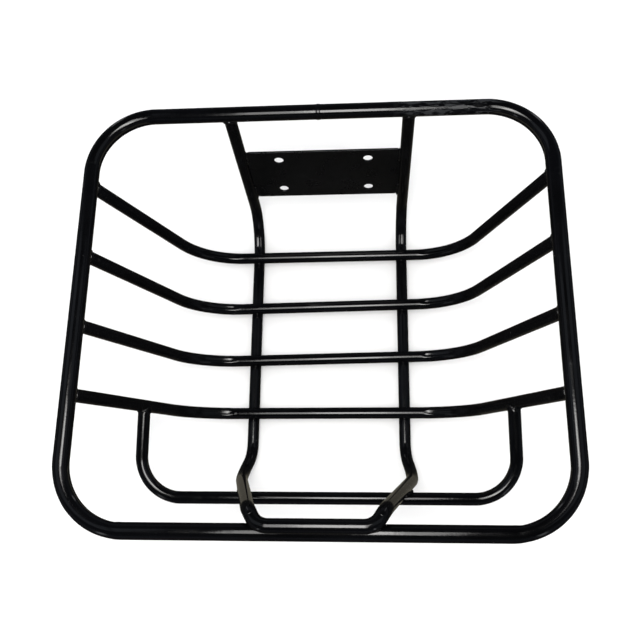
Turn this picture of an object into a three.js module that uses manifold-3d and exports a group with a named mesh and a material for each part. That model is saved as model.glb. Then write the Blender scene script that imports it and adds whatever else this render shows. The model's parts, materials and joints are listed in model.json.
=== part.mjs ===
// Open carrier basket of welded round tube with a four-hole mounting plate.
// Millimetres, +Z up. +Y is the rear, where the mounting plate is; +X is the right-hand side.
// The origin is on the surface that the basket stands on, under the centre of its outline.

import * as THREE from 'three';
import { mergeVertices } from 'three/addons/utils/BufferGeometryUtils.js';
import Module from 'manifold-3d';

const wasm = await Module();
wasm.setup();

// ---- driving dimensions ------------------------------------------------------------------

const rimTube = 13;              // outside diameter of the rim tube
const barTube = 11;              // outside diameter of every other tube
const clearance = 0.3;           // space kept between pieces that touch
const weldLeg = 2.4;             // how far a weld bead reaches over each surface that it joins

const rimFacets = 16;            // sides of the rim tube's section
const barFacets = 14;            // sides of the other tubes' section
const copeFacets = 20;           // sides of the round cut where one tube meets another
const beadFacets = 18;
const holeFacets = 6;            // per quarter of a hole or plate corner
const bendStep = 12;             // degrees of bend covered by one facet ring
const fewestBendSteps = 3;

const rimHalfWidth = 195;        // to the tube's centreline
const rimHalfLength = 174.8;     // to the tube's centreline
const rimBend = 52.5;            // centreline radius of the four corners
const basketDepth = 163.5;       // rim centreline down to the slats' centreline
const seamGap = 0.6;             // where the two ends of the rim tube meet
const seamWidth = 3.6;
const seamHeight = 0.4;

const slatCount = 4;
const slatFloorPitch = 54.8;     // between the slats' flat middles
const slatFloorCentre = 22.8;    // y of the middle of that row
const slatEndPitch = 60.9;       // between the slats' ends, which splay apart
const slatEndCentre = 20.6;      // y of the middle of that row
const slatFlatHalf = 130.4;      // x where the flat middle would meet the ramp
const slatBend = 62;
const slatEndDrop = 5;           // ends meet the rim a little below its centreline
const slatSkew = [0.35, 1.05, 1.1, 0.1];  // degrees about +Z, as set in the jig, rear slat first

const wallTop = 78.3;            // half spacing of the runner's legs at the rear rim
const wallFoot = { x: 75.2, y: 148.2, bend: 44 };
const frontFoot = { x: 75, y: -98.8, bend: 28.8 };
const noseSpread = { x: 81.5, y: -123.2, rise: 22.4, bend: 46 };
const rimPass = { x: 50.4, y: -158.4, aboveRim: 5.3, bend: 16 };
const loopCorner = { x: 42.8, bend: 14 };
const loopInset = 4.3;           // loop bar's centreline sits this far inside the rim's
const loopShift = 2.5;           // loop is set this far to the right
const loopWeldHalf = 26;         // half the length of the two beads along the loop's bar

const guardEndHalf = 162.8;      // x where the guard's legs meet the front slat's ramps
const guardFrontHalf = 167.3;
const guardFrontDrop = 110;      // guard's front bar below the rim's centreline
const guardBend = 35.7;
const guardShift = 2;            // guard is set this far to the right

const plate = { height: 70, thickness: 2, corner: 4, below: 88 };  // below: rim to plate centre
const plateHole = { diameter: 9, spacingX: 84, spacingZ: 45 };
const plateWeldLength = 15;

// Stretches of tube beside a joint that a weld bead is worked out from.
const endStretch = 20;           // along a tube that ends at the joint
const passHalf = 15;             // each way along a tube that passes the joint
const slantHalf = 18;            // the same where two tubes cross at a slant
const cutterExtra = 3;           // a tube taken away from a bead is longer at both ends

// ---- derived positions -------------------------------------------------------------------

const rimR = rimTube / 2;
const barR = barTube / 2;
const runnerZ = barR;
const slatZ = runnerZ + barTube + clearance;
const rimZ = slatZ + basketDepth;
const sides = [{ name: 'left', sign: - 1 }, { name: 'right', sign: 1 }];
const wallDrop = new THREE.Vector3( wallFoot.x - wallTop, wallFoot.y - rimHalfLength, runnerZ - rimZ );
const wallTilt = Math.atan2( - wallDrop.y, - wallDrop.z );

const vec = ( x, y, z ) => new THREE.Vector3( x, y, z );

// ---- finish ------------------------------------------------------------------------------

const coat = () => new THREE.MeshStandardMaterial( { color: 0x0b0c0e, roughness: 0.2, metalness: 0.1 } );
const beadCoat = () => new THREE.MeshStandardMaterial( { color: 0x101113, roughness: 0.32, metalness: 0.1 } );

// ---- geometry helpers --------------------------------------------------------------------

// Straight stretches joined by circular bends. Each corner is { at: Vector3, bend: radius }.
// The curve is sampled only where its direction changes: at the ends and along each bend.
class BentPath extends THREE.Curve {

	constructor( corners ) {

		super();
		const last = corners.length - 1;
		const lead = corners[ 1 ].at.clone().sub( corners[ 0 ].at ).normalize();
		this.stations = [ { point: corners[ 0 ].at, tangent: lead } ];
		for ( let i = 1; i < last; i ++ ) this.addBend( corners[ i - 1 ].at, corners[ i ], corners[ i + 1 ].at );
		const tail = corners[ last ].at.clone().sub( corners[ last - 1 ].at ).normalize();
		this.stations.push( { point: corners[ last ].at, tangent: tail } );

	}

	addBend( before, corner, after ) {

		const arrive = corner.at.clone().sub( before ).normalize();
		const leave = after.clone().sub( corner.at ).normalize();
		const turn = arrive.angleTo( leave );
		const tangentLength = corner.bend * Math.tan( turn / 2 );
		const start = corner.at.clone().addScaledVector( arrive, - tangentLength );
		const axis = arrive.clone().cross( leave ).normalize();
		const inward = axis.clone().cross( arrive );
		const centre = start.clone().addScaledVector( inward, corner.bend );
		const steps = Math.max( fewestBendSteps, Math.ceil( THREE.MathUtils.radToDeg( turn ) / bendStep ) );
		for ( let k = 0; k <= steps; k ++ ) {

			const angle = turn * k / steps;
			const spoke = start.clone().sub( centre ).applyAxisAngle( axis, angle );
			this.stations.push( {
				point: centre.clone().add( spoke ),
				tangent: arrive.clone().applyAxisAngle( axis, angle )
			} );

		}

	}

	get steps() {

		return this.stations.length - 1;

	}

	getPointAt( u, target = new THREE.Vector3() ) {

		return target.copy( this.stations[ Math.round( u * this.steps ) ].point );

	}

	getTangentAt( u, target = new THREE.Vector3() ) {

		return target.copy( this.stations[ Math.round( u * this.steps ) ].tangent );

	}

}

function circleShape( radius, facets ) {

	const points = [];
	for ( let k = 0; k < facets; k ++ ) {

		const angle = 2 * Math.PI * ( k + 0.5 ) / facets;
		points.push( new THREE.Vector2( radius * Math.cos( angle ), radius * Math.sin( angle ) ) );

	}

	return new THREE.Shape( points );

}

function bentTube( corners, radius, facets ) {

	const path = new BentPath( corners );
	return new THREE.ExtrudeGeometry( circleShape( radius, facets ), { extrudePath: path, steps: path.steps } );

}

// A straight cylinder from one point to another. Its flats lie at the stated radius.
function rod( from, to, radius, facets = copeFacets ) {

	const length = from.distanceTo( to );
	const vertexRadius = radius / Math.cos( Math.PI / facets );
	const geometry = new THREE.CylinderGeometry( vertexRadius, vertexRadius, length, facets );
	const direction = to.clone().sub( from ).normalize();
	const turn = new THREE.Quaternion().setFromUnitVectors( vec( 0, 1, 0 ), direction );
	geometry.applyQuaternion( turn );
	const middle = from.clone().add( to ).multiplyScalar( 0.5 );
	return geometry.translate( middle.x, middle.y, middle.z );

}

function box( sizeX, sizeY, sizeZ, centre ) {

	return new THREE.BoxGeometry( sizeX, sizeY, sizeZ ).translate( centre.x, centre.y, centre.z );

}

function toSolid( geometry ) {

	const bare = geometry.clone();
	bare.deleteAttribute( 'normal' );
	bare.deleteAttribute( 'uv' );
	const merged = mergeVertices( bare, 1e-4 );
	return new wasm.Manifold( new wasm.Mesh( {
		numProp: 3,
		vertProperties: new Float32Array( merged.attributes.position.array ),
		triVerts: new Uint32Array( merged.index.array )
	} ) );

}

function toGeometry( solid ) {

	const mesh = solid.getMesh();
	const geometry = new THREE.BufferGeometry();
	geometry.setAttribute( 'position', new THREE.BufferAttribute( new Float32Array( mesh.vertProperties ), 3 ) );
	geometry.setIndex( new THREE.BufferAttribute( new Uint32Array( mesh.triVerts ), 1 ) );
	geometry.computeVertexNormals();
	return geometry;

}

function cut( geometry, ...tools ) {

	let solid = toSolid( geometry );
	for ( const tool of tools ) solid = solid.subtract( toSolid( tool ) );
	return toGeometry( solid );

}

// A straight tube, { from, to, radius }, grown outwards and made longer at both ends.
function grown( tube, outward, longer = 0 ) {

	const along = tube.to.clone().sub( tube.from ).normalize().multiplyScalar( longer );
	const from = tube.from.clone().sub( along );
	const to = tube.to.clone().add( along );
	return toSolid( rod( from, to, tube.radius + outward, beadFacets ) );

}

// The weld bead where two straight tubes meet: everything within weldLeg of both surfaces.
// Each tube covers only the stretch beside the joint.
function bead( tubeA, tubeB, within = null ) {

	let solid = grown( tubeA, weldLeg ).intersect( grown( tubeB, weldLeg ) );
	if ( within ) solid = solid.intersect( toSolid( within ) );
	for ( const tube of [ tubeA, tubeB ] ) solid = solid.subtract( grown( tube, clearance, cutterExtra ) );
	return toGeometry( solid );

}

function addMesh( group, name, geometry, material ) {

	const mesh = new THREE.Mesh( geometry, material );
	mesh.name = name;
	group.add( mesh );
	return mesh;

}

// A stretch of straight tube centred on a point, for a joint at that point.
function stretch( at, direction, half, radius ) {

	const reach = direction.clone().normalize().multiplyScalar( half );
	return { from: at.clone().sub( reach ), to: at.clone().add( reach ), radius };

}

// ---- rim ---------------------------------------------------------------------------------

const rimCorner = ( x, y ) => ( { at: vec( x * rimHalfWidth, y * rimHalfLength, rimZ ), bend: rimBend } );

function rimGeometry() {

	const corners = [
		{ at: vec( seamGap / 2, rimHalfLength, rimZ ) },
		rimCorner( 1, 1 ),
		rimCorner( 1, - 1 ),
		rimCorner( - 1, - 1 ),
		rimCorner( - 1, 1 ),
		{ at: vec( - seamGap / 2, rimHalfLength, rimZ ) }
	];
	return bentTube( corners, rimR, rimFacets );

}

// The low ring of weld over the butt joint at the middle of the rear rim.
function seamGeometry() {

	const inner = rimR + clearance;
	const edge = inner + seamHeight / 2;
	const crown = inner + seamHeight;
	const profile = [
		[ inner, - seamWidth / 2 ],
		[ edge, - seamWidth / 2 ],
		[ crown, 0 ],
		[ edge, seamWidth / 2 ],
		[ inner, seamWidth / 2 ],
		[ inner, - seamWidth / 2 ]
	].map( ( [ radius, along ] ) => new THREE.Vector2( radius, along ) );
	return new THREE.LatheGeometry( profile, copeFacets );

}

// ---- slats -------------------------------------------------------------------------------

// The right-hand half of a slat's centreline; the left-hand half is its mirror image, skewed back.
function slatLine( index ) {

	const row = ( slatCount - 1 ) / 2 - index;
	const skew = Math.tan( THREE.MathUtils.degToRad( slatSkew[ index ] ) );
	const floorY = slatFloorCentre + row * slatFloorPitch;
	const endY = slatEndCentre + row * slatEndPitch;
	return {
		bendAt: ( sign ) => vec( sign * slatFlatHalf, floorY + sign * skew * slatFlatHalf, slatZ ),
		endAt: ( sign ) => vec( sign * rimHalfWidth, endY + sign * skew * rimHalfWidth, rimZ - slatEndDrop ),
		floorAt: ( x ) => vec( x, floorY + skew * x, slatZ ),
		direction: vec( 1, skew, 0 )
	};

}

function slatGeometry( line ) {

	const tube = bentTube( [
		{ at: line.endAt( - 1 ) },
		{ at: line.bendAt( - 1 ), bend: slatBend },
		{ at: line.bendAt( 1 ), bend: slatBend },
		{ at: line.endAt( 1 ) }
	], barR, barFacets );
	const copes = sides.map( ( { sign } ) => rod(
		vec( sign * rimHalfWidth, - rimHalfLength + rimBend, rimZ ),
		vec( sign * rimHalfWidth, rimHalfLength - rimBend, rimZ ),
		rimR + clearance
	) );
	return cut( tube, ...copes );

}

// ---- runner: rear wall, floor, nose and front loop in one bent tube -----------------------

const loopBarY = - rimHalfLength + loopInset;
const loopBarZ = rimZ + Math.sqrt( ( rimR + barR + clearance ) ** 2 - loopInset ** 2 );

function runnerHalf( sign ) {

	return [
		{ at: vec( sign * wallTop, rimHalfLength, rimZ ) },
		{ at: vec( sign * wallFoot.x, wallFoot.y, runnerZ ), bend: wallFoot.bend },
		{ at: vec( sign * frontFoot.x, frontFoot.y, runnerZ ), bend: frontFoot.bend },
		{ at: vec( sign * noseSpread.x, noseSpread.y, runnerZ + noseSpread.rise ), bend: noseSpread.bend },
		{ at: vec( sign * rimPass.x + loopShift, rimPass.y, rimZ + rimPass.aboveRim ), bend: rimPass.bend },
		{ at: vec( sign * loopCorner.x + loopShift, loopBarY, loopBarZ ), bend: loopCorner.bend }
	];

}

function runnerGeometry() {

	const tube = bentTube( [ ...runnerHalf( - 1 ), ...runnerHalf( 1 ).reverse() ], barR, barFacets );
	const rearRim = rod(
		vec( - rimHalfWidth + rimBend, rimHalfLength, rimZ ),
		vec( rimHalfWidth - rimBend, rimHalfLength, rimZ ),
		rimR + clearance
	);
	return cut( tube, rearRim );

}

// The point of a straight run of the runner at a stated height or depth.
function alongRun( from, to, axis, value ) {

	return from.clone().lerp( to, ( value - from[ axis ] ) / ( to[ axis ] - from[ axis ] ) );

}

// ---- guard bar ---------------------------------------------------------------------------

const guardZ = rimZ - guardFrontDrop;

// The guard's front bar rests against the outside of the runner's rising legs.
function guardFrontY() {

	const [ , , , nose, pass ] = runnerHalf( 1 ).map( ( corner ) => corner.at );
	const leg = pass.clone().sub( nose );
	const lean = Math.atan2( - leg.y, leg.z );
	return alongRun( nose, pass, 'z', guardZ ).y - ( barTube + clearance ) / Math.cos( lean );

}

function guardCorners( sign ) {

	const ramp = slatLine( slatCount - 1 );
	const legX = sign * guardEndHalf + guardShift;
	return [
		{ at: alongRun( ramp.bendAt( sign ), ramp.endAt( sign ), 'x', legX ) },
		{ at: vec( sign * guardFrontHalf + guardShift, guardFrontY(), guardZ ), bend: guardBend }
	];

}

function guardGeometry() {

	const tube = bentTube( [ ...guardCorners( - 1 ), ...guardCorners( 1 ).reverse() ], barR, barFacets );
	const ramp = slatLine( slatCount - 1 );
	const copes = sides.map( ( { sign } ) => rod( ramp.bendAt( sign ), ramp.endAt( sign ), barR + clearance ) );
	return cut( tube, ...copes );

}

// ---- mounting plate, drawn in the rear wall's own frame with its centre at the origin --------

// Half spacing of the rear legs at a height above the plate's centre.
function legSpacing( height ) {

	const wallLength = Math.hypot( wallDrop.y, wallDrop.z );
	return wallTop + wallDrop.x * ( plate.below - height ) / wallLength;

}

// The plate's sides follow the legs, which close in slightly towards the floor.
function plateOutline() {

	const { height, corner } = plate;
	const top = height / 2;
	const inset = barR + clearance + corner;
	const topX = legSpacing( top ) - inset;
	const bottomX = legSpacing( - top ) - inset;
	const outline = new THREE.Shape();
	outline.absarc( topX, top - corner, corner, 0, Math.PI / 2 );
	outline.absarc( - topX, top - corner, corner, Math.PI / 2, Math.PI );
	outline.absarc( - bottomX, - top + corner, corner, Math.PI, 1.5 * Math.PI );
	outline.absarc( bottomX, - top + corner, corner, 1.5 * Math.PI, 2 * Math.PI );
	for ( const { sign } of sides ) {

		for ( const level of [ - 1, 1 ] ) {

			const hole = new THREE.Path();
			const x = sign * plateHole.spacingX / 2;
			const z = level * plateHole.spacingZ / 2;
			hole.absarc( x, z, plateHole.diameter / 2, 0, 2 * Math.PI, true );
			outline.holes.push( hole );

		}

	}

	return outline;

}

function plateGeometry() {

	const options = { depth: plate.thickness, bevelEnabled: false, curveSegments: holeFacets };
	const geometry = new THREE.ExtrudeGeometry( plateOutline(), options );
	return geometry.rotateX( Math.PI / 2 ).translate( 0, plate.thickness / 2, 0 );

}

// A short bead on the plate's front face, along the leg beside one of its corners.
function plateBead( sign, level ) {

	const from = level * ( plate.height / 2 - plate.corner );
	const to = from - level * plateWeldLength;
	const legFrom = vec( sign * legSpacing( from ), 0, from );
	const legTo = vec( sign * legSpacing( to ), 0, to );
	const legMiddle = legFrom.clone().add( legTo ).multiplyScalar( 0.5 );
	const leg = stretch( legMiddle, legTo.clone().sub( legFrom ), plateWeldLength, barR );
	const sheet = ( extra ) => box(
		2 * ( legMiddle.x * sign - barR + extra ), plate.thickness + 2 * extra, plate.height, vec( 0, 0, 0 )
	);
	const ahead = barTube;
	const frontCentre = vec( legMiddle.x, - ( plate.thickness + ahead ) / 2, legMiddle.z );
	const front = box( 4 * barTube, ahead, plateWeldLength, frontCentre );
	const solid = toSolid( rod( leg.from, leg.to, barR + weldLeg ) )
		.intersect( toSolid( sheet( weldLeg ) ) )
		.intersect( toSolid( front ) )
		.subtract( toSolid( rod( leg.from, leg.to, barR + clearance ) ) )
		.subtract( toSolid( sheet( clearance ) ) );
	return toGeometry( solid );

}

// ---- assembly ----------------------------------------------------------------------------

const basket = new THREE.Group();
const tubes = new THREE.Group();
const welds = new THREE.Group();
const rearWall = new THREE.Group();
basket.add( tubes, welds, rearWall );

addMesh( tubes, 'rim_tube', rimGeometry(), coat() );
addMesh( tubes, 'runner_tube', runnerGeometry(), coat() );
addMesh( tubes, 'guard_tube', guardGeometry(), coat() );

const seam = addMesh( welds, 'weld_rim_seam', seamGeometry(), beadCoat() );
seam.position.set( 0, rimHalfLength, rimZ );
seam.rotation.z = Math.PI / 2;

// Slats, each welded to the rim at both ends and to the runner where it crosses.
for ( let index = 0; index < slatCount; index ++ ) {

	const line = slatLine( index );
	const number = index + 1;
	addMesh( tubes, `slat_${ number }`, slatGeometry( line ), coat() );
	for ( const { name, sign } of sides ) {

		const end = line.endAt( sign );
		const inward = line.bendAt( sign ).clone().sub( end ).normalize();
		const slatEnd = { from: end, to: end.clone().addScaledVector( inward, endStretch ), radius: barR };
		const rimSide = stretch( vec( sign * rimHalfWidth, end.y, rimZ ), vec( 0, 1, 0 ), passHalf, rimR );
		addMesh( welds, `weld_slat_${ number }_rim_${ name }`, bead( slatEnd, rimSide ), beadCoat() );

		const [ , foot, front ] = runnerHalf( sign ).map( ( corner ) => corner.at );
		const runnerAt = alongRun( foot, front, 'y', line.floorAt( sign * wallFoot.x ).y );
		const slatAt = line.floorAt( runnerAt.x );
		const runnerFloor = stretch( runnerAt, front.clone().sub( foot ), passHalf, barR );
		const slatFloor = stretch( slatAt, line.direction, passHalf, barR );
		addMesh( welds, `weld_slat_${ number }_runner_${ name }`, bead( slatFloor, runnerFloor ), beadCoat() );

	}

}

for ( const { name, sign } of sides ) {

	// Runner's upper ends under the rear rim.
	const [ top, foot, , nose, pass ] = runnerHalf( sign ).map( ( corner ) => corner.at );
	const downLeg = foot.clone().sub( top ).normalize();
	const legEnd = { from: top, to: top.clone().addScaledVector( downLeg, endStretch ), radius: barR };
	const rearRim = stretch( top, vec( 1, 0, 0 ), passHalf, rimR );
	addMesh( welds, `weld_runner_rim_${ name }`, bead( legEnd, rearRim ), beadCoat() );

	// Guard's ends on the front slat's ramps.
	const ramp = slatLine( slatCount - 1 );
	const [ guardEnd, guardCorner ] = guardCorners( sign ).map( ( corner ) => corner.at );
	const guardAxis = guardCorner.clone().sub( guardEnd ).normalize();
	const guardInner = guardEnd.clone().addScaledVector( guardAxis, endStretch );
	const guardLeg = { from: guardEnd, to: guardInner, radius: barR };
	const rampAxis = ramp.endAt( sign ).clone().sub( ramp.bendAt( sign ) );
	const rampTube = stretch( guardEnd, rampAxis, passHalf, barR );
	addMesh( welds, `weld_guard_slat_${ name }`, bead( guardLeg, rampTube ), beadCoat() );

	// Guard's front bar against the runner's rising legs.
	const legAt = alongRun( nose, pass, 'z', guardZ );
	const risingLeg = stretch( legAt, pass.clone().sub( nose ), slantHalf, barR );
	const guardBar = stretch( vec( legAt.x, guardFrontY(), guardZ ), vec( 1, 0, 0 ), slantHalf, barR );
	addMesh( welds, `weld_guard_runner_${ name }`, bead( risingLeg, guardBar ), beadCoat() );

}

// Loop bar along the top of the front rim, welded in the groove on each side.
const loopBar = stretch( vec( loopShift, loopBarY, loopBarZ ), vec( 1, 0, 0 ), loopWeldHalf, barR );
const frontRim = stretch( vec( loopShift, - rimHalfLength, rimZ ), vec( 1, 0, 0 ), loopWeldHalf, rimR );
const loopLean = Math.atan2( loopInset, loopBarZ - rimZ );
for ( const [ name, way ] of [ [ 'outer', - 1 ], [ 'inner', 1 ] ] ) {

	const reach = 2 * rimTube;
	const grooveSide = box( 4 * loopWeldHalf, reach, 2 * reach, vec( 0, way * reach / 2, 0 ) );
	grooveSide.rotateX( - loopLean ).translate( loopShift, - rimHalfLength, rimZ );
	addMesh( welds, `weld_loop_rim_${ name }`, bead( loopBar, frontRim, grooveSide ), beadCoat() );

}

// Mounting plate between the runner's legs on the leaning rear wall.
rearWall.position.set( 0, rimHalfLength, rimZ );
rearWall.rotation.x = - wallTilt;
const plateMesh = addMesh( rearWall, 'mounting_plate', plateGeometry(), coat() );
plateMesh.position.z = - plate.below;
for ( const { name, sign } of sides ) {

	for ( const [ height, level ] of [ [ 'upper', 1 ], [ 'lower', - 1 ] ] ) {

		const weld = addMesh( rearWall, `weld_plate_${ height }_${ name }`, plateBead( sign, level ), beadCoat() );
		weld.position.z = - plate.below;

	}

}

export default basket;
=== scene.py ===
"""Finished look of an open carrier basket of welded round tube with a four-hole mounting plate.

Metres, in the CAD part's frame: +Z up, +Y to the rear, where the mounting plate is, +X right.
Each tube is swept again with a fine section along the route of its CAD node, every weld is a
rippled bead along the real line of contact, and the plate gets rounded edges.
"""

import json
import math

import bmesh
import bpy
import numpy as np
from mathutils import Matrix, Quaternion, Vector, noise
from mathutils.geometry import tessellate_polygon


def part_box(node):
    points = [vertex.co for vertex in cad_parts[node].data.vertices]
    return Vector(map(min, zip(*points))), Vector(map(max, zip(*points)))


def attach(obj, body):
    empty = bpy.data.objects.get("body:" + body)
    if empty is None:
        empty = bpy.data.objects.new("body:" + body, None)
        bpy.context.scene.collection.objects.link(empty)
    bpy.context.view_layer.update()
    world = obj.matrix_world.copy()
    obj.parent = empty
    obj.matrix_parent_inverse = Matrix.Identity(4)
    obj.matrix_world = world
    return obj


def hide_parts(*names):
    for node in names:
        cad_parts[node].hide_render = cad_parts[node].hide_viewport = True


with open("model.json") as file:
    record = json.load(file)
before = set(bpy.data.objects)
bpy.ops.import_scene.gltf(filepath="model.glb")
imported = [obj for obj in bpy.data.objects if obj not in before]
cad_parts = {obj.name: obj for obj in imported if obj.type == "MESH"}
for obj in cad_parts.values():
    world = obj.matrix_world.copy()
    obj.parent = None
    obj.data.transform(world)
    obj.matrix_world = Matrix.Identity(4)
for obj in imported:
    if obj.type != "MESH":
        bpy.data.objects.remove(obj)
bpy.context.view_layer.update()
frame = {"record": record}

MM = 0.001

# ---- driving dimensions, as in the CAD part ---------------------------------------------------

RIM_R = 6.5 * MM
BAR_R = 5.5 * MM
RIM_BEND = 52.5 * MM

SLAT_COUNT = 4
SLAT_FLOOR_PITCH = 54.8 * MM
SLAT_FLOOR_CENTRE = 22.8 * MM
SLAT_END_PITCH = 60.9 * MM
SLAT_END_CENTRE = 20.6 * MM
SLAT_FLAT_HALF = 130.4 * MM
SLAT_BEND = 62 * MM
SLAT_END_DROP = 5 * MM
SLAT_SKEW = (0.35, 1.05, 1.1, 0.1)

WALL_TOP = 78.3 * MM
WALL_FOOT = (75.2 * MM, 148.2 * MM, 44 * MM)
FRONT_FOOT = (75 * MM, -98.8 * MM, 28.8 * MM)
NOSE_SPREAD = (81.5 * MM, -123.2 * MM, 46 * MM)
NOSE_RISE = 22.4 * MM
RIM_PASS = (50.4 * MM, -158.4 * MM, 16 * MM)
PASS_ABOVE_RIM = 5.3 * MM
LOOP_CORNER = (42.8 * MM, 14 * MM)
LOOP_INSET = 4.3 * MM
LOOP_SHIFT = 2.5 * MM
LOOP_WELD_HALF = 26 * MM

GUARD_END_HALF = 162.8 * MM
GUARD_FRONT_HALF = 167.3 * MM
GUARD_FRONT_DROP = 110 * MM
GUARD_BEND = 35.7 * MM
GUARD_SHIFT = 2 * MM

PLATE_HEIGHT = 70 * MM
PLATE_THICKNESS = 2 * MM
PLATE_CORNER = 4 * MM
PLATE_WELD = 15 * MM
HOLE_R = 4.5 * MM
HOLE_SPACING = (84 * MM, 45 * MM)

# ---- places read from the frame ---------------------------------------------------------------

rim_lo, rim_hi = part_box("rim_tube")
rim_section = (rim_hi.z - rim_lo.z) / 2
RIM_Z = (rim_hi.z + rim_lo.z) / 2
RIM_HALF_WIDTH = rim_hi.x - rim_section
RIM_HALF_LENGTH = rim_hi.y - rim_section
RUNNER_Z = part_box("runner_tube")[0].z + BAR_R
SLAT_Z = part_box("slat_1")[0].z + BAR_R
GUARD_Z = RIM_Z - GUARD_FRONT_DROP
plate_mount = next(m for m in frame["record"]["mounts"] if m["name"] == "plate_back")
PLATE_NORMAL = Vector(plate_mount["axis"]).normalized()
PLATE_CENTRE = Vector(plate_mount["pos_m"]) - PLATE_NORMAL * PLATE_THICKNESS / 2

# ---- fineness of the meshes -------------------------------------------------------------------

SECTION_SIDES = 60
STRAIGHT_STEP = 5 * MM
BEND_STEP = math.radians(1.5)
LEAST_BEND_STEPS = 6
COPE_STEPS = 5           # rings in the last stretch of a tube, up to its coped end
CURVE_STEPS = 96         # points round a tube in the line of a weld
BEAD_SIDES = 14
BEAD_STEP = 0.28 * MM
LEAST_BEAD_STEPS = 12
DROP_RINGS = 8
CORNER_STEPS = 10
HOLE_SIDES = 48
EDGE_STEPS = 4

# ---- marks of bending and drawing -------------------------------------------------------------

MARK_START = 3 * MM      # the bender's mark begins this far into a bend
MARK_RISE = 8 * MM       # and reaches its full depth this much further on
FULL_MARK_TURN = math.radians(60)  # bends sharper than this are marked to the full depth
SLIGHT_MARK = 0.3        # depth of the mark on the other bends, against the full depth
DENT_DEPTH = 0.15        # of the radius, a shallow groove along the inside of a bend
DENT_HALF = 0.45         # of the radius, half the groove's width
OUTER_DRAW = 0.03        # of the radius, lost on the outside of a bend
SIDE_SWELL = 0.02        # of the radius, gained at the sides of a bend
SLOW_WAVES = 55          # unevenness of the tube's surface, per metre
SLOW_WAVE_DEPTH = 0.030 * MM
QUICK_WAVES = 240
QUICK_WAVE_DEPTH = 0.008 * MM

# ---- tube ends and welds ----------------------------------------------------------------------

END_TRIM = 3.2           # of the radius, cut back from an end before it is coped
END_SHORT = 1.2 * MM     # a tube's end stops this far short of the other tube's centreline
END_REACH = 4            # of the radius, from where the line of an end weld is sought to the end
SINK = 0.5 * MM          # how far a piece is let into the tube that it is welded to
BEAD_RADIUS = 1.15 * MM
RIPPLE_PITCH = 1.5 * MM
RIPPLE_DEPTH = 0.11      # of the bead's size
RIPPLE_BOW = 0.32        # of the pitch, how far the sides of a ripple trail behind its middle
LUMPS = 420              # unevenness of a bead's size, per metre
LUMP_DEPTH = 0.10
JOIN_LUMP = 0.16         # how much fuller a closed bead is where its ends join
JOIN_REACH = 1.6 * MM
THIN_END = 0.45          # size of an open bead at its ends, against its middle
CROSSING_REACH = 4.1 * MM  # from the contact of two crossing bars out to the middle of the bead
CROSSING_FILL = 0.55 * MM
DROP_R = 0.5 * MM
DROP_LIFT = 0.1 * MM     # of a drop's centre above the bar's surface
DROP_REACH = 13 * MM     # from the other tube's centreline to a drop of spatter on the bar

PLATE_BEAD = (1.7 * MM, 1.2 * MM)  # half width and height of a bead
PLATE_BEAD_STEPS = 8
PLATE_BEAD_START = 1.8 * MM        # beyond the plate's edge
PLATE_BEAD_EXTRA = 3 * MM
SEAM_BEAD = (1.8 * MM, 0.32 * MM)
LOOP_BEAD = (1.3 * MM, 1.1 * MM)
LOOP_BEAD_OUT = 0.8 * MM           # from the bar's and the rim's surface to the bead's middle
LOOP_BEAD_STEPS = 40
LOOP_DROPS = (-9 * MM, -5 * MM)    # drops of spatter along the bar
LOOP_DROP_TURN = 1.0               # radians round the bar from its top to the drops

SIDES = (("left", -1), ("right", 1))
X_AXIS = Vector((1, 0, 0))
Y_AXIS = Vector((0, 1, 0))


# ---- routes of the tubes ----------------------------------------------------------------------

def straight_stations(start, end, with_end):
    """Places along a straight stretch as (point, tangent, inward, strength), with no bending."""
    run = end - start
    steps = max(1, round(run.length / STRAIGHT_STEP))
    tangent = run.normalized()
    last = steps + 1 if with_end else steps
    return [(start + run * k / steps, tangent, Vector(), 0.0) for k in range(last)]


def bend_of(before, corner, after, radius):
    """Start, centre, axis and angle of the arc that rounds a corner."""
    arrive = (corner - before).normalized()
    leave = (after - corner).normalized()
    turn = arrive.angle(leave)
    start = corner - arrive * radius * math.tan(turn / 2)
    end = corner + leave * radius * math.tan(turn / 2)
    axis = arrive.cross(leave).normalized()
    centre = start + axis.cross(arrive) * radius
    return {"start": start, "end": end, "centre": centre, "axis": axis, "turn": turn, "lead": arrive}


def bend_stations(bend):
    """Places along a bend. Strength is the depth of the bender's mark, which is 0 at both ends."""
    steps = max(LEAST_BEND_STEPS, math.ceil(bend["turn"] / BEND_STEP))
    full = 1.0 if bend["turn"] > FULL_MARK_TURN else SLIGHT_MARK
    length = bend["turn"] * (bend["start"] - bend["centre"]).length
    stations = []
    for k in range(steps):
        share = k / steps
        turn = Quaternion(bend["axis"], bend["turn"] * share)
        spoke = turn @ (bend["start"] - bend["centre"])
        from_end = length * min(share, 1 - share)
        rise = min(1.0, max(0.0, (from_end - MARK_START) / MARK_RISE))
        strength = full * rise * rise * (3 - 2 * rise)
        stations.append((bend["centre"] + spoke, turn @ bend["lead"], -spoke.normalized(), strength))
    return stations


def open_route(corners):
    """Stations from the first corner to the last. A corner is (point, bend radius)."""
    points = [Vector(point) for point, _ in corners]
    stations, at = [], points[0]
    for i in range(1, len(points) - 1):
        bend = bend_of(points[i - 1], points[i], points[i + 1], corners[i][1])
        stations += straight_stations(at, bend["start"], False) + bend_stations(bend)
        at = bend["end"]
    return stations + straight_stations(at, points[-1], True)


def closed_route(corners):
    """Stations round a closed loop of corners."""
    count = len(corners)
    points = [Vector(point) for point, _ in corners]
    bends = []
    for i in range(count):
        bends.append(bend_of(points[i - 1], points[i], points[(i + 1) % count], corners[i][1]))
    stations = []
    for i, bend in enumerate(bends):
        stations += bend_stations(bend)
        stations += straight_stations(bend["end"], bends[(i + 1) % count]["start"], False)
    return stations


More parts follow.
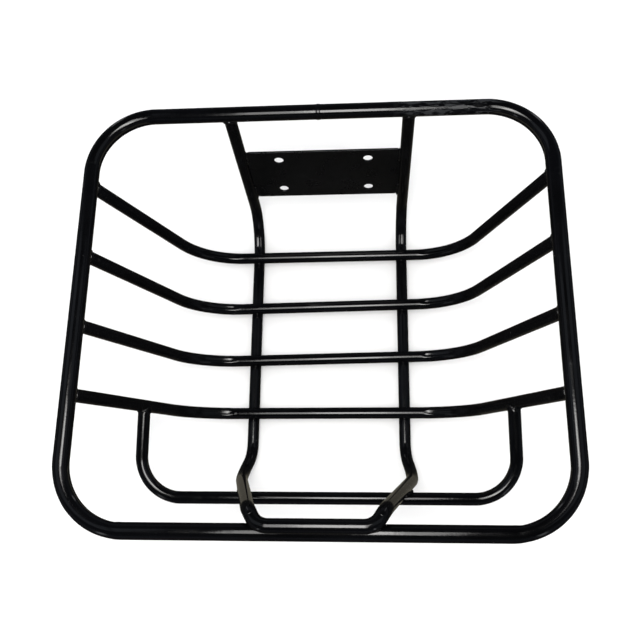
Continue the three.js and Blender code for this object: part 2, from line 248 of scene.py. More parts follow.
def rim_corners():
    signs = ((1, 1), (1, -1), (-1, -1), (-1, 1))
    return [((x * RIM_HALF_WIDTH, y * RIM_HALF_LENGTH, RIM_Z), RIM_BEND) for x, y in signs]


def slat_line(index):
    """Key points of slat number index + 1, counted from the rear."""
    row = (SLAT_COUNT - 1) / 2 - index
    skew = math.tan(math.radians(SLAT_SKEW[index]))
    floor_y = SLAT_FLOOR_CENTRE + row * SLAT_FLOOR_PITCH
    end_y = SLAT_END_CENTRE + row * SLAT_END_PITCH

    def bend(sign):
        return Vector((sign * SLAT_FLAT_HALF, floor_y + sign * skew * SLAT_FLAT_HALF, SLAT_Z))

    def end(sign):
        return Vector((sign * RIM_HALF_WIDTH, end_y + sign * skew * RIM_HALF_WIDTH, RIM_Z - SLAT_END_DROP))

    return {"bend": bend, "end": end, "floor_y": floor_y, "skew": skew}


def slat_corners(line):
    return [
        (line["end"](-1), 0),
        (line["bend"](-1), SLAT_BEND),
        (line["bend"](1), SLAT_BEND),
        (line["end"](1), 0),
    ]


LOOP_Y = LOOP_INSET - RIM_HALF_LENGTH
LOOP_Z = RIM_Z + math.sqrt((RIM_R + BAR_R) ** 2 - LOOP_INSET**2)


def runner_half(sign):
    """Corners of one half of the runner tube, from the rear rim to the middle of the loop."""
    return [
        (Vector((sign * WALL_TOP, RIM_HALF_LENGTH, RIM_Z)), 0),
        (Vector((sign * WALL_FOOT[0], WALL_FOOT[1], RUNNER_Z)), WALL_FOOT[2]),
        (Vector((sign * FRONT_FOOT[0], FRONT_FOOT[1], RUNNER_Z)), FRONT_FOOT[2]),
        (Vector((sign * NOSE_SPREAD[0], NOSE_SPREAD[1], RUNNER_Z + NOSE_RISE)), NOSE_SPREAD[2]),
        (Vector((sign * RIM_PASS[0] + LOOP_SHIFT, RIM_PASS[1], RIM_Z + PASS_ABOVE_RIM)), RIM_PASS[2]),
        (Vector((sign * LOOP_CORNER[0] + LOOP_SHIFT, LOOP_Y, LOOP_Z)), LOOP_CORNER[1]),
    ]


def along(start, end, axis, value):
    """The point of a straight run where one coordinate has a stated value."""
    return start.lerp(end, (value - start[axis]) / (end[axis] - start[axis]))


def guard_front_y():
    """The guard's front bar lies against the outside of the runner's rising legs."""
    nose, rim_pass = runner_half(1)[3][0], runner_half(1)[4][0]
    leg = rim_pass - nose
    lean = math.atan2(-leg.y, leg.z)
    return along(nose, rim_pass, 2, GUARD_Z).y - 2 * BAR_R / math.cos(lean)


def guard_half(sign):
    ramp = slat_line(SLAT_COUNT - 1)
    end = along(ramp["bend"](sign), ramp["end"](sign), 0, sign * GUARD_END_HALF + GUARD_SHIFT)
    corner = Vector((sign * GUARD_FRONT_HALF + GUARD_SHIFT, guard_front_y(), GUARD_Z))
    return [(end, 0), (corner, GUARD_BEND)]


# ---- mesh building ----------------------------------------------------------------------------

def new_piece(name, verts, faces, material):
    """A smooth-shaded mesh object that rides on the root body and stands for its CAD node."""
    mesh = bpy.data.meshes.new(name)
    mesh.from_pydata([tuple(v) for v in verts], [], faces)
    mesh.validate()
    clean = bmesh.new()
    clean.from_mesh(mesh)
    bmesh.ops.recalc_face_normals(clean, faces=clean.faces)
    clean.to_mesh(mesh)
    clean.free()
    mesh.shade_smooth()
    mesh.materials.append(material)
    piece = bpy.data.objects.new(f"{name}_look", mesh)
    bpy.context.scene.collection.objects.link(piece)
    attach(piece, "root")
    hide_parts(name)
    return piece


def ring_faces(rings, sides, closed):
    """Quads between neighbouring rings of vertices, and fans over the two ends if it is open."""
    faces = []
    for i in range(rings if closed else rings - 1):
        low, high = i * sides, ((i + 1) % rings) * sides
        for k in range(sides):
            after = (k + 1) % sides
            faces.append((low + k, low + after, high + after, high + k))
    if not closed:
        start_tip, end_tip = rings * sides, rings * sides + 1
        last = (rings - 1) * sides
        for k in range(sides):
            after = (k + 1) % sides
            faces.append((after, k, start_tip))
            faces.append((last + k, last + after, end_tip))
    return faces


def section_offset(direction, inward, strength):
    """Unit section point, with a shallow groove on the inside of a bend and slightly oval."""
    if strength == 0:
        return direction
    depth = direction.dot(inward)
    side = direction - inward * depth
    if depth > 0:
        across = side.length / DENT_HALF
        depth -= DENT_DEPTH * strength * max(0.0, 1 - across**2) ** 2
    else:
        depth *= 1 - OUTER_DRAW * strength
    return side * (1 + SIDE_SWELL * strength) + inward * depth


def surface_wave(point):
    """Slight unevenness of drawn tube under its coat, in metres."""
    slow = noise.noise(point * SLOW_WAVES) * SLOW_WAVE_DEPTH
    quick = noise.noise(point * QUICK_WAVES) * QUICK_WAVE_DEPTH
    return slow + quick


def hit_distance(point, direction, target):
    """How far along direction point meets a cylinder (point, axis, radius), or passes closest."""
    base, axis, radius = target
    gap = point - base
    gap -= axis * gap.dot(axis)
    across = direction - axis * direction.dot(axis)
    a = across.length_squared
    b = gap.dot(across)
    c = gap.length_squared - radius**2
    return (-b - math.sqrt(max(b * b - a * c, 0.0))) / a


def tube_mesh(stations, radius, closed, up, ends=(None, None)):
    """A tube along the stations. ends are the cylinders that its open ends are coped to."""
    trim = END_TRIM * radius
    tips = (stations[0][0], stations[-1][0])
    for tip, target in zip(tips, ends):
        if target:
            stations = [s for s in stations if (s[0] - tip).length > trim]
    rings, normal = [], Vector(up)
    for point, tangent, inward, strength in stations:
        normal = (normal - tangent * normal.dot(tangent)).normalized()
        side = tangent.cross(normal)
        ring = []
        for k in range(SECTION_SIDES):
            angle = 2 * math.pi * k / SECTION_SIDES
            direction = normal * math.cos(angle) + side * math.sin(angle)
            place = point + section_offset(direction, inward, strength) * radius
            ring.append(place + direction * surface_wave(place))
        rings.append(ring)
    for which, target in enumerate(ends):
        if not target:
            continue
        base = rings[-which]
        at, way = stations[-which][0], stations[-which][1] * (1 if which else -1)
        limit = (tips[which] - at).dot(way) - END_SHORT
        reach = [min(hit_distance(v, way, target) + SINK, limit) for v in base]
        new = []
        for k in range(1, COPE_STEPS + 1):
            new.append([v + way * r * k / COPE_STEPS for v, r in zip(base, reach)])
        rings = rings + new if which else new[::-1] + rings
    verts = [v for ring in rings for v in ring]
    if not closed:
        for ring in (rings[0], rings[-1]):
            verts.append(sum(ring, Vector()) / len(ring))
    return verts, ring_faces(len(rings), SECTION_SIDES, closed)


# ---- weld beads -------------------------------------------------------------------------------

def resampled(points, outs, closed):
    """The curve again at even steps of about BEAD_STEP, with its outward directions."""
    if closed:
        points, outs = points + points[:1], outs + outs[:1]
    lengths = [0.0]
    for a, b in zip(points, points[1:]):
        lengths.append(lengths[-1] + (b - a).length)
    total = lengths[-1]
    count = max(LEAST_BEAD_STEPS, round(total / BEAD_STEP))
    marks = np.linspace(0, total, count, endpoint=not closed)
    place = np.array([[*p] for p in points])
    out = np.array([[*o] for o in outs])
    even = np.stack([np.interp(marks, lengths, place[:, k]) for k in range(3)], 1)
    even_out = np.stack([np.interp(marks, lengths, out[:, k]) for k in range(3)], 1)
    return [Vector(p) for p in even], [Vector(o) for o in even_out], marks, total


def bead_mesh(points, outs, size, closed, seed):
    """A rippled weld bead along a curve. outs point away from the joint.

    size is its half width and its height. The seed shifts its unevenness.
    """
    half_width, height = size
    points, outs, marks, total = resampled(points, outs, closed)
    count = len(points)
    verts = []
    shift = Vector((seed * 3.7, seed * 1.9, seed * 5.3))
    for i, (point, out, mark) in enumerate(zip(points, outs, marks)):
        before = points[i - 1] if closed or i else points[i]
        after = points[(i + 1) % count] if closed or i < count - 1 else points[i]
        tangent = (after - before).normalized()
        out = (out - tangent * out.dot(tangent)).normalized()
        side = tangent.cross(out)
        lump = 1 + LUMP_DEPTH * noise.noise(point * LUMPS + shift)
        if closed:
            from_start = min(mark, total - mark)
            lump += JOIN_LUMP * math.exp(-((from_start / JOIN_REACH) ** 2))
        else:
            from_end = min(mark, total - mark)
            lump *= THIN_END + (1 - THIN_END) * min(1.0, from_end / (2 * half_width))
        for k in range(BEAD_SIDES):
            angle = 2 * math.pi * k / BEAD_SIDES
            phase = mark / RIPPLE_PITCH - RIPPLE_BOW * (1 - math.cos(angle))
            wave = 2 * abs(math.sin(math.pi * phase)) - 1
            ripple = 1 + RIPPLE_DEPTH * wave * max(0.0, math.cos(angle))
            offset = out * height * math.cos(angle) + side * half_width * math.sin(angle)
            verts.append(point + offset * lump * ripple)
    if not closed:
        verts += [points[0], points[-1]]
    return verts, ring_faces(count, BEAD_SIDES, closed)


def add_spatter(verts, faces, places):
    """Adds small round drops of spatter to a bead's mesh. A place is (centre, radius)."""
    for centre, radius in places:
        first = len(verts)
        for ring in range(1, DROP_RINGS):
            polar = math.pi * ring / DROP_RINGS
            for k in range(BEAD_SIDES):
                angle = 2 * math.pi * k / BEAD_SIDES
                flat = Vector((math.cos(angle), math.sin(angle), 0)) * math.sin(polar)
                verts.append(centre + (flat + Vector((0, 0, math.cos(polar)))) * radius)
        verts += [centre + Vector((0, 0, radius)), centre - Vector((0, 0, radius))]
        for face in ring_faces(DROP_RINGS - 1, BEAD_SIDES, False):
            faces.append(tuple(first + i for i in face))


def end_curve(tip, way, radius, target):
    """The line where a tube that ends at another meets it, with directions out of the joint."""
    start = tip - way * END_REACH * radius
    base, axis, _ = target
    normal = axis.cross(way).normalized()
    side = way.cross(normal)
    points, outs = [], []
    for k in range(CURVE_STEPS):
        angle = 2 * math.pi * k / CURVE_STEPS
        direction = normal * math.cos(angle) + side * math.sin(angle)
        place = start + direction * radius
        place += way * min(hit_distance(place, way, target), END_REACH * radius - END_SHORT)
        off = place - base
        off -= axis * off.dot(axis)
        out = (direction + off.normalized()).normalized()
        points.append(place + out * 0.25 * BEAD_RADIUS)
        outs.append(out)
    return points, outs


def crossing_curve(point_a, axis_a, point_b, axis_b, radius, reach):
    """A closed line round the contact of two crossing tubes of one radius, and the gap there."""
    axis_a, axis_b = axis_a.normalized(), axis_b.normalized()
    normal = axis_a.cross(axis_b).normalized()
    if normal.dot(point_a - point_b) < 0:
        normal = -normal
    gap = max(0.0, (point_a - point_b).dot(normal) - 2 * radius)
    # the point of axis a that is nearest to axis b
    link = point_b - point_a
    link -= normal * link.dot(normal)
    cross_a = axis_b.cross(normal)
    near_a = point_a + axis_a * link.dot(cross_a) / axis_a.dot(cross_a)
    contact = near_a - normal * (radius + gap / 2)
    other = normal.cross(axis_a)
    points, outs = [], []
    for k in range(CURVE_STEPS):
        angle = 2 * math.pi * k / CURVE_STEPS
        way = axis_a * math.cos(angle) + other * math.sin(angle)
        rise_a = radius - math.sqrt(radius**2 - (reach * way.dot(normal.cross(axis_a))) ** 2)
        rise_b = radius - math.sqrt(radius**2 - (reach * way.dot(normal.cross(axis_b))) ** 2)
        points.append(contact + way * reach + normal * (rise_a - rise_b) / 2)
        outs.append(way)
    return points, outs, gap


def crossing_bead(name, point_a, axis_a, point_b, axis_b, seed):
    """The bead that fills the narrow gap round the contact of two crossing bars."""
    points, outs, gap = crossing_curve(point_a, axis_a, point_b, axis_b, BAR_R, CROSSING_REACH)
    size = CROSSING_REACH**2 / (4 * BAR_R) + gap / 2 + CROSSING_FILL
    verts, faces = bead_mesh(points, outs, (size, size * 0.9), True, seed)
    return new_piece(name, verts, faces, weld_coat)


def end_bead(name, tip, way, target, seed, drop_side=None):
    """The bead round the end of a bar coped to another tube, with any drop of spatter beside it."""
    points, outs = end_curve(tip, way, BAR_R, target)
    verts, faces = bead_mesh(points, outs, (BEAD_RADIUS, BEAD_RADIUS), True, seed)
    if drop_side:
        across = (drop_side - way * drop_side.dot(way)).normalized()
        drop = tip - way * (DROP_REACH + seed % 3 * MM) + across * (BAR_R + DROP_LIFT)
        add_spatter(verts, faces, [(drop, DROP_R)])
    return new_piece(name, verts, faces, weld_coat)


def tube_piece(name, stations, radius, closed=False, up=(0, 0, 1), ends=(None, None)):
    verts, faces = tube_mesh(stations, radius, closed, up, ends)
    return new_piece(name, verts, faces, tube_coat)


# ---- mounting plate ---------------------------------------------------------------------------

EDGE = 0.35 * MM         # rounding of the plate's edges
PLATE_RISE = X_AXIS.cross(PLATE_NORMAL)
LEG_SLOPE = (WALL_FOOT[0] - WALL_TOP) / (RIM_Z - RUNNER_Z)


def leg_spacing(height):
    """Half spacing of the rear legs at a height along the wall above the plate's centre."""
    z = PLATE_CENTRE.z + height * PLATE_RISE.z
    return WALL_TOP + LEG_SLOPE * (RIM_Z - z)


def on_plate(x, height, out):
    """The point at x, at a height along the wall and at a distance out of the plate's middle."""
    return PLATE_CENTRE + X_AXIS * x + PLATE_RISE * height + PLATE_NORMAL * out


def arc(x, height, radius, start, turn, steps):
    """Points of an arc about (x, height), its first and last ones included."""
    angles = (start + turn * k / steps for k in range(steps + 1))
    return [(x + radius * math.cos(a), height + radius * math.sin(a)) for a in angles]


def plate_outline(inset):
    """The plate's outline, its sides let slightly into the legs."""
    top = PLATE_HEIGHT / 2
    points = []
    for x_sign, z_sign, start in ((1, 1, 0.0), (-1, 1, 0.5), (-1, -1, 1.0), (1, -1, 1.5)):
        x = x_sign * (leg_spacing(z_sign * top) - BAR_R + SINK - PLATE_CORNER)
        height = z_sign * (top - PLATE_CORNER)
        points += arc(x, height, PLATE_CORNER - inset, start * math.pi, math.pi / 2, CORNER_STEPS)
    return points


def plate_hole(x, height, inset):
    return arc(x, height, HOLE_R + inset, 0, -2 * math.pi, HOLE_SIDES)[:-1]


def plate_loops(inset):
    holes = [
        plate_hole(x * HOLE_SPACING[0] / 2, z * HOLE_SPACING[1] / 2, inset)
        for z in (1, -1)
        for x in (-1, 1)
    ]
    return [plate_outline(inset), *holes]


def plate_mesh():
    """Flat sheet with rounded edges round its outline and its four holes."""
    half = PLATE_THICKNESS / 2
    levels = []
    for side in (-1, 1):
        for step in range(EDGE_STEPS + 1):
            angle = math.pi / 2 * step / EDGE_STEPS
            angle = angle if side < 0 else math.pi / 2 - angle
            levels.append((EDGE * (1 - math.sin(angle)), side * (half - EDGE + EDGE * math.cos(angle))))
    verts, faces = [], []
    layers = []
    for inset, out in levels:
        layer = []
        for loop in plate_loops(inset):
            layer.append(range(len(verts), len(verts) + len(loop)))
            verts += [on_plate(x, height, out) for x, height in loop]
        layers.append(layer)
    for lower, upper in zip(layers, layers[1:]):
        for low, high in zip(lower, upper):
            count = len(low)
            for k in range(count):
                after = (k + 1) % count
                faces.append((low[k], low[after], high[after], high[k]))
    flat_loops = [[Vector((x, height, 0)) for x, height in loop] for loop in plate_loops(EDGE)]
    triangles = tessellate_polygon(flat_loops)
    for layer in (layers[0], layers[-1]):
        first = layer[0][0]
        faces += [tuple(first + i for i in triangle) for triangle in triangles]
    return verts, faces


def plate_bead(name, sign, level, seed):
    """A short bead on the plate's front face, along the leg beside one of its corners."""
    points, outs = [], []
    start = level * (PLATE_HEIGHT / 2 + PLATE_BEAD_START)
    for k in range(PLATE_BEAD_STEPS + 1):
        height = start - level * (PLATE_WELD + PLATE_BEAD_EXTRA) * k / PLATE_BEAD_STEPS
        x = leg_spacing(height) - BAR_R - 0.2 * MM
        points.append(on_plate(sign * x, height, -PLATE_THICKNESS / 2 - 0.1 * MM))
        outs.append((-PLATE_NORMAL - X_AXIS * sign * 0.6).normalized())
    verts, faces = bead_mesh(points, outs, PLATE_BEAD, False, seed)
    return new_piece(name, verts, faces, weld_coat)


# ---- materials --------------------------------------------------------------------------------

class Nodes:
    """Short names for adding and linking shader nodes."""

    def __init__(self, name):
        self.material = bpy.data.materials.new(name)
        self.material.use_nodes = True
        self.tree = self.material.node_tree
        self.shader = self.tree.nodes["Principled BSDF"]
        self.place = self.add("ShaderNodeTexCoord").outputs["Object"]

    def add(self, kind, **settings):
        node = self.tree.nodes.new(kind)
        for key, value in settings.items():
            setattr(node, key, value)
        return node

    def link(self, source, socket):
        self.tree.links.new(source, socket)

    def noise(self, scale, detail=2.0, stretch=None, distortion=0.0):
        """Noise in object space, per metre. stretch scales the three axes first."""
        node = self.add("ShaderNodeTexNoise")
        node.inputs["Scale"].default_value = scale
        node.inputs["Detail"].default_value = detail
        node.inputs["Distortion"].default_value = distortion
        source = self.place
        if stretch:
            mapping = self.add("ShaderNodeMapping")
            mapping.inputs["Scale"].default_value = stretch
            self.link(source, mapping.inputs["Vector"])
            source = mapping.outputs["Vector"]
        self.link(source, node.inputs["Vector"])
        return node.outputs["Fac"]

    def band(self, value, low, high, to_low=0.0, to_high=1.0):
        """value mapped from low..high to to_low..to_high, held at the ends."""
        node = self.add("ShaderNodeMapRange")
        node.inputs["From Min"].default_value = low
        node.inputs["From Max"].default_value = high
        node.inputs["To Min"].default_value = to_low
        node.inputs["To Max"].default_value = to_high
        self.link(value, node.inputs["Value"])
        return node.outputs["Result"]

    def math(self, operation, a, b):
        node = self.add("ShaderNodeMath", operation=operation)
        for socket, value in zip(node.inputs, (a, b)):
            if isinstance(value, (int, float)):
                socket.default_value = value
            else:
                self.link(value, socket)
        return node.outputs["Value"]

    def mix(self, factor, a, b):
        """Colour a to colour b by factor."""
        node = self.add("ShaderNodeMix", data_type="RGBA")
        self.link(factor, node.inputs["Factor"])
        for socket, value in ((node.inputs["A"], a), (node.inputs["B"], b)):
            if isinstance(value, tuple):
                socket.default_value = (*value, 1)
            else:
                self.link(value, socket)
        return node.outputs["Result"]

    def near(self, centre, size):
        """1 inside a box of half sizes size round centre, falling to 0 half as far out again."""
        split = self.add("ShaderNodeSeparateXYZ")
        self.link(self.place, split.inputs["Vector"])
        inside = None
        for axis, (middle, half) in enumerate(zip(centre, size)):
            away = self.math("ABSOLUTE", self.math("SUBTRACT", split.outputs[axis], middle), 0)
            part = self.band(away, half, half * 1.5, 1.0, 0.0)
            inside = part if inside is None else self.math("MULTIPLY", inside, part)
        return inside


BLACK = (0.0007, 0.00075, 0.0009)
BLUE_BLACK = (0.0014, 0.0015, 0.0020)
DUST = (0.022, 0.022, 0.021)
SCUFF = (0.040, 0.042, 0.046)


def gloss_black(name, roughness, peel, scuffs=()):
    """Gloss black coat: orange peel, slight colour drift, dust specks, hairlines and scuffs.

    peel is its height in metres. scuffs are (centre, half size) boxes where the coat is rubbed.
    """
    n = Nodes(name)
    drift = n.band(n.noise(17, 3), 0.35, 0.65)
    colour = n.mix(drift, BLACK, BLUE_BLACK)
    cloudy = n.band(n.noise(60, 4, distortion=0.6), 0.3, 0.7)
    hairline = n.band(n.noise(260, 2, stretch=(0.12, 1.0, 1.0)), 0.66, 0.72)
    rubbed = n.band(n.noise(34, 3), 0.56, 0.68)
    hairline = n.math("MULTIPLY", hairline, rubbed)
    specks = n.band(n.noise(900, 1), 0.80, 0.84)
    colour = n.mix(n.math("MULTIPLY", specks, 0.6), colour, DUST)
    colour = n.mix(n.math("MULTIPLY", hairline, 0.5), colour, DUST)
    rough = n.math("ADD", roughness, n.math("MULTIPLY", cloudy, 0.07))
    rough = n.math("ADD", rough, n.math("MULTIPLY", hairline, 0.16))
    rough = n.math("ADD", rough, n.math("MULTIPLY", specks, 0.3))
    relief = n.math("MULTIPLY", n.noise(520, 1.5), peel)
    relief = n.math("ADD", relief, n.math("MULTIPLY", n.noise(150, 1), peel * 1.6))
    relief = n.math("SUBTRACT", relief, n.math("MULTIPLY", hairline, peel * 0.8))
    relief = n.math("ADD", relief, n.math("MULTIPLY", specks, peel * 1.5))
    for centre, size in scuffs:
        streaks = n.band(n.noise(330, 3, stretch=(0.26, 1.0, 1.0), distortion=0.8), 0.48, 0.58)
        scuff = n.math("MULTIPLY", n.near(centre, size), streaks)
        colour = n.mix(n.math("MULTIPLY", scuff, 0.5), colour, SCUFF)
        rough = n.math("ADD", rough, n.math("MULTIPLY", scuff, 0.26))
        relief = n.math("SUBTRACT", relief, n.math("MULTIPLY", scuff, peel * 2.6))
    bump = n.add("ShaderNodeBump")
    bump.inputs["Strength"].default_value = 1.0
    bump.inputs["Distance"].default_value = 1.0
    n.link(relief, bump.inputs["Height"])
    n.link(bump.outputs["Normal"], n.shader.inputs["Normal"])
    n.link(colour, n.shader.inputs["Base Color"])
    n.link(rough, n.shader.inputs["Roughness"])
    n.shader.inputs["IOR"].default_value = 1.5
    return n.material


# the centre and half size of the rubbed place on the rear rim
rear_rim_scuff = ((112 * MM, RIM_HALF_LENGTH, RIM_Z + RIM_R), (32 * MM, 9 * MM, 7 * MM))
tube_coat = gloss_black("tube_coat", 0.09, 0.020 * MM, (rear_rim_scuff,))
plate_coat = gloss_black("plate_coat", 0.26, 0.030 * MM)
weld_coat = gloss_black("weld_coat", 0.12, 0.030 * MM)


# ---- the basket -------------------------------------------------------------------------------

rim_side = {
    sign: (Vector((sign * RIM_HALF_WIDTH, 0, RIM_Z)), Y_AXIS, RIM_R) for _, sign in SIDES
}
rear_rim = (Vector((0, RIM_HALF_LENGTH, RIM_Z)), X_AXIS, RIM_R)


def add_slat(index):
    """A slat, coped to the rim at both ends, with its welds to the rim and to the floor runners."""
    line = slat_line(index)
    name = f"slat_{index + 1}"
    ends = (rim_side[-1], rim_side[1])
    tube_piece(name, open_route(slat_corners(line)), BAR_R, up=Y_AXIS, ends=ends)
    for number, (side, sign) in enumerate(SIDES):
        end = line["end"](sign)
        way = (end - line["bend"](sign)).normalized()
        end_bead(f"weld_{name}_rim_{side}", end, way, rim_side[sign], 10 * index + number)
        foot, front = runner_half(sign)[1][0], runner_half(sign)[2][0]
        floor_x = sign * (WALL_FOOT[0] + FRONT_FOOT[0]) / 2
        slat_at = Vector((floor_x, line["floor_y"] + line["skew"] * floor_x, SLAT_Z))
        slat_way = Vector((1, line["skew"], 0))
        runner_at = along(foot, front, 1, slat_at.y)
        weld = f"weld_{name}_runner_{side}"
        crossing_bead(weld, slat_at, slat_way, runner_at, front - foot, 10 * index + number + 4)


def slat_ramp(sign):
    """The front slat's rising end as a cylinder."""
    line = slat_line(SLAT_COUNT - 1)
    end = line["end"](sign)
    return end, (end - line["bend"](sign)).normalized(), BAR_R


def add_side_welds(number, side, sign):
    """The welds of the runner, the guard and the plate on one side."""
    top, foot = runner_half(sign)[0][0], runner_half(sign)[1][0]
    way = (top - foot).normalized()
    drop_side = Vector((-0.3 * sign, -1, 0))
    end_bead(f"weld_runner_rim_{side}", top, way, rear_rim, 50 + number, drop_side)

    end, corner = guard_half(sign)[0][0], guard_half(sign)[1][0]
    way = (end - corner).normalized()
    end_bead(f"weld_guard_slat_{side}", end, way, slat_ramp(sign), 54 + number)

    nose, rim_pass = runner_half(sign)[3][0], runner_half(sign)[4][0]
    bar_at = Vector((0, guard_front_y(), GUARD_Z))
    crossing_bead(f"weld_guard_runner_{side}", bar_at, X_AXIS, nose, rim_pass - nose, 58 + number)

    for level_name, level in (("upper", 1), ("lower", -1)):
        plate_bead(f"weld_plate_{level_name}_{side}", sign, level, 62 + 2 * number + level)


def add_plate():
    verts, faces = plate_mesh()
    plate = new_piece("mounting_plate", verts, faces, plate_coat)
    weighted = plate.modifiers.new("even_faces", "WEIGHTED_NORMAL")
    weighted.weight = 100


def add_rim_seam():
    """The butt joint at the middle of the rear rim."""
    points, outs = [], []
    for k in range(CURVE_STEPS):
        angle = 2 * math.pi * k / CURVE_STEPS
        out = Vector((0, math.cos(angle), math.sin(angle)))
        points.append(rear_rim[0] + out * RIM_R)
        outs.append(out)
    verts, faces = bead_mesh(points, outs, SEAM_BEAD, True, 71)
    new_piece("weld_rim_seam", verts, faces, weld_coat)


def add_loop_welds():
    """The beads in the two grooves between the loop's bar and the front rim."""
    lean = math.atan2(LOOP_Z - RIM_Z, LOOP_INSET)
    reach_rim, reach_bar = RIM_R + LOOP_BEAD_OUT, BAR_R + LOOP_BEAD_OUT
    span = RIM_R + BAR_R
    down = (span**2 + reach_rim**2 - reach_bar**2) / (2 * span)
    off = math.sqrt(reach_rim**2 - down**2)
    spine = Vector((0, math.cos(lean), math.sin(lean)))
    half_steps = LOOP_BEAD_STEPS // 2
    for name, way in (("outer", -1), ("inner", 1)):
        across = Vector((0, math.sin(lean), -math.cos(lean))) * way
        middle = Vector((LOOP_SHIFT, -RIM_HALF_LENGTH, RIM_Z)) + spine * down + across * off
        points = []
        for k in range(LOOP_BEAD_STEPS + 1):
            points.append(middle + X_AXIS * LOOP_WELD_HALF * (k / half_steps - 1))
        verts, faces = bead_mesh(points, [across] * len(points), LOOP_BEAD, False, 80 + way)
        if name == "inner":
            drop_way = Vector((0, math.sin(LOOP_DROP_TURN), math.cos(LOOP_DROP_TURN)))
            drop_line = Vector((0, LOOP_Y, LOOP_Z)) + drop_way * (BAR_R + DROP_LIFT)
            add_spatter(verts, faces, [(drop_line + X_AXIS * x, DROP_R) for x in LOOP_DROPS])
        new_piece(f"weld_loop_rim_{name}", verts, faces, weld_coat)


tube_piece("rim_tube", closed_route(rim_corners()), RIM_R, closed=True)
for index in range(SLAT_COUNT):
    add_slat(index)
runner = runner_half(-1) + runner_half(1)[::-1]
tube_piece("runner_tube", open_route(runner), BAR_R, up=X_AXIS, ends=(rear_rim, rear_rim))
guard = guard_half(-1) + guard_half(1)[::-1]
tube_piece("guard_tube", open_route(guard), BAR_R, ends=(slat_ramp(-1), slat_ramp(1)))
for number, (side, sign) in enumerate(SIDES):
    add_side_welds(number, side, sign)
add_plate()
add_rim_seam()
add_loop_welds()


# ---- floor, light and camera ------------------------------------------------------------------

FLOOR_HALF = 30.0
FLOOR_COLOUR = (0.92, 0.92, 0.92)
FLOOR_DRIFT = 0.985
FLOOR_ROUGHNESS = 0.9

WARM_WHITE = (1.0, 0.99, 0.97)
COOL_WHITE = (0.95, 0.97, 1.0)
SKY = (0.80, 0.88, 1.0)
# name, place, point that it faces, size, brightness and colour
SOFT_LIGHTS = (
    ("key", (0.0, -0.17, 0.80), (0.0, -0.12, 0.1), (0.15, 0.38), 7, WARM_WHITE),
    ("key_wide", (-0.015, -0.18, 0.81), (-0.01, -0.12, 0.1), (0.36, 0.44), 5, WARM_WHITE),
    ("sky_left", (-1.1, 0.1, 1.5), (0, 0, 0.1), (1.2, 1.2), 0.26, SKY),
    ("sky_right", (1.1, 0.1, 1.5), (0, 0, 0.1), (1.2, 1.2), 0.2, SKY),
)
# upright strips round the basket, seen only in its gloss
STRIP_AZIMUTHS = (35, 145, 215, 325)
STRIP_DISTANCE = 2.2
STRIP_HEIGHT = 0.45
STRIP_AIM = (0, 0, 0.1)
STRIP_SIZE = (0.22, 0.9)
STRIP_RADIANCE = 1.2

SURROUND = 1.0           # brightness of the world as it lights the floor and the coat
BACKDROP = 0.93          # and as the camera sees it
# the room in the gloss, from straight down at 0 to straight up at 1
ROOM_STOPS = (
    (0.0, (0.16, 0.15, 0.12)),
    (0.05, (0.14, 0.13, 0.105)),
    (0.12, (0.035, 0.033, 0.030)),
    (0.50, (0.05, 0.052, 0.060)),
    (0.53, (0.10, 0.105, 0.125)),
    (0.62, (0.09, 0.095, 0.115)),
    (0.68, (0.02, 0.022, 0.027)),
    (1.0, (0.006, 0.0065, 0.009)),
)

CAMERA_PLACE = (0.0467, -0.1829, 0.7488)
CAMERA_AIM = (-0.0026, 0.0113, 0.1)
CAMERA_ROLL = math.radians(-14.27)
CAMERA_LENS = 42.28
CAMERA_SENSOR = 36
CAMERA_NEAR = 0.01


def floor_material():
    """Matt and pale, with a slight drift in its tone."""
    n = Nodes("floor_pale")
    tone = n.band(n.noise(3, 2), 0.3, 0.7)
    darker = tuple(c * FLOOR_DRIFT for c in FLOOR_COLOUR)
    n.link(n.mix(tone, FLOOR_COLOUR, darker), n.shader.inputs["Base Color"])
    n.shader.inputs["Roughness"].default_value = FLOOR_ROUGHNESS
    n.shader.inputs["Specular IOR Level"].default_value = 0.0
    return n.material


def make_floor():
    """A wide floor under the basket, left out of the reflections in its gloss."""
    mesh = bpy.data.meshes.new("floor")
    corners = [(x * FLOOR_HALF, y * FLOOR_HALF, 0) for x, y in ((-1, -1), (1, -1), (1, 1), (-1, 1))]
    mesh.from_pydata(corners, [], [(0, 1, 2, 3)])
    mesh.materials.append(floor_material())
    floor = bpy.data.objects.new("floor", mesh)
    bpy.context.scene.collection.objects.link(floor)
    floor.visible_glossy = False


def make_light(name, place, aim, size, radiance, colour):
    """A rectangular soft light of a stated brightness, in the unit of the floor's white."""
    data = bpy.data.lights.new(name, "AREA")
    data.shape = "RECTANGLE"
    data.size, data.size_y = size
    data.energy = radiance * math.pi * size[0] * size[1]
    data.color = colour
    light = bpy.data.objects.new(name, data)
    light.location = place
    light.rotation_euler = (Vector(aim) - Vector(place)).to_track_quat("-Z", "Y").to_euler()
    light.visible_camera = False
    bpy.context.scene.collection.objects.link(light)
    return light


def make_lights():
    for light in SOFT_LIGHTS:
        make_light(*light)
    for number, azimuth in enumerate(STRIP_AZIMUTHS):
        angle = math.radians(azimuth)
        x, y = STRIP_DISTANCE * math.sin(angle), STRIP_DISTANCE * math.cos(angle)
        name = f"strip_{number + 1}"
        strip = make_light(name, (x, y, STRIP_HEIGHT), STRIP_AIM, STRIP_SIZE, STRIP_RADIANCE, COOL_WHITE)
        strip.visible_diffuse = False


def background(tree, strength):
    """A white background shader of a stated brightness."""
    node = tree.nodes.new("ShaderNodeBackground")
    node.inputs["Color"].default_value = (1, 1, 1, 1)
    node.inputs["Strength"].default_value = strength
    return node


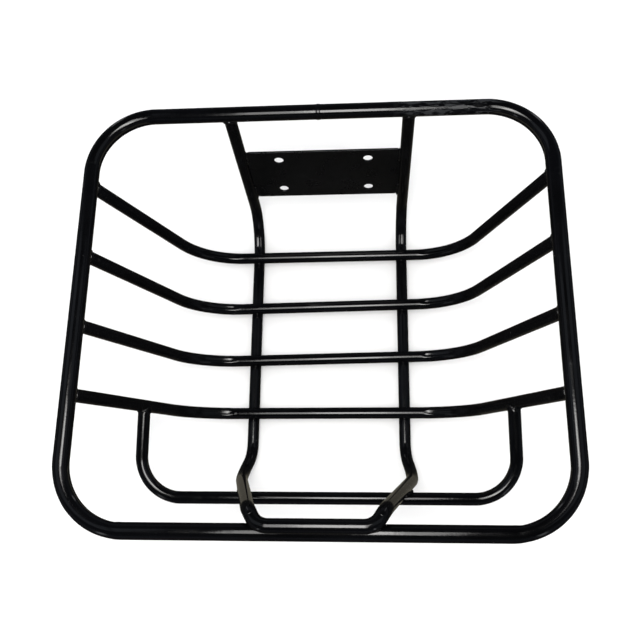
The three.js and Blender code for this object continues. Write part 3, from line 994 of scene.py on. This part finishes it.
def room_colour(tree):
    """The colour of the room by height, for the gloss."""
    coords = tree.nodes.new("ShaderNodeTexCoord")
    split = tree.nodes.new("ShaderNodeSeparateXYZ")
    tree.links.new(coords.outputs["Generated"], split.inputs["Vector"])
    height = tree.nodes.new("ShaderNodeMapRange")
    height.inputs["From Min"].default_value = -1
    tree.links.new(split.outputs["Z"], height.inputs["Value"])
    ramp = tree.nodes.new("ShaderNodeValToRGB")
    tree.links.new(height.outputs["Result"], ramp.inputs["Fac"])
    elements = ramp.color_ramp.elements
    while len(elements) < len(ROOM_STOPS):
        elements.new(0.5)
    for element, (position, colour) in zip(elements, ROOM_STOPS):
        element.position = position
        element.color = (*colour, 1)
    return ramp.outputs["Color"]


def choose(tree, factor, first, second):
    """The second shader where factor is 1, and the first where it is 0."""
    mix = tree.nodes.new("ShaderNodeMixShader")
    tree.links.new(factor, mix.inputs["Fac"])
    tree.links.new(first, mix.inputs[1])
    tree.links.new(second, mix.inputs[2])
    return mix.outputs["Shader"]


def make_world():
    """Pale to the eye; in the gloss a dim room, with a warm grey ground below the horizon."""
    world = bpy.data.worlds.new("studio")
    bpy.context.scene.world = world
    world.use_nodes = True
    tree = world.node_tree
    tree.nodes.clear()
    pale = background(tree, SURROUND)
    backdrop = background(tree, BACKDROP)
    room = background(tree, 1.0)
    tree.links.new(room_colour(tree), room.inputs["Color"])
    rays = tree.nodes.new("ShaderNodeLightPath").outputs
    unseen = choose(tree, rays["Is Glossy Ray"], pale.outputs["Background"], room.outputs["Background"])
    seen = choose(tree, rays["Is Camera Ray"], unseen, backdrop.outputs["Background"])
    out = tree.nodes.new("ShaderNodeOutputWorld")
    tree.links.new(seen, out.inputs["Surface"])


def make_camera():
    """At the reference view: above the front of the basket, looking down and back."""
    data = bpy.data.cameras.new("camera")
    data.sensor_width = CAMERA_SENSOR
    data.lens = CAMERA_LENS
    data.clip_start = CAMERA_NEAR
    camera = bpy.data.objects.new("camera", data)
    look = (Vector(CAMERA_AIM) - Vector(CAMERA_PLACE)).to_track_quat("-Z", "Y")
    camera.location = CAMERA_PLACE
    camera.rotation_mode = "QUATERNION"
    camera.rotation_quaternion = look @ Quaternion((0, 0, 1), CAMERA_ROLL)
    bpy.context.scene.collection.objects.link(camera)
    bpy.context.scene.camera = camera


make_floor()
make_lights()
make_world()
make_camera()
bpy.context.scene.view_settings.view_transform = "Standard"
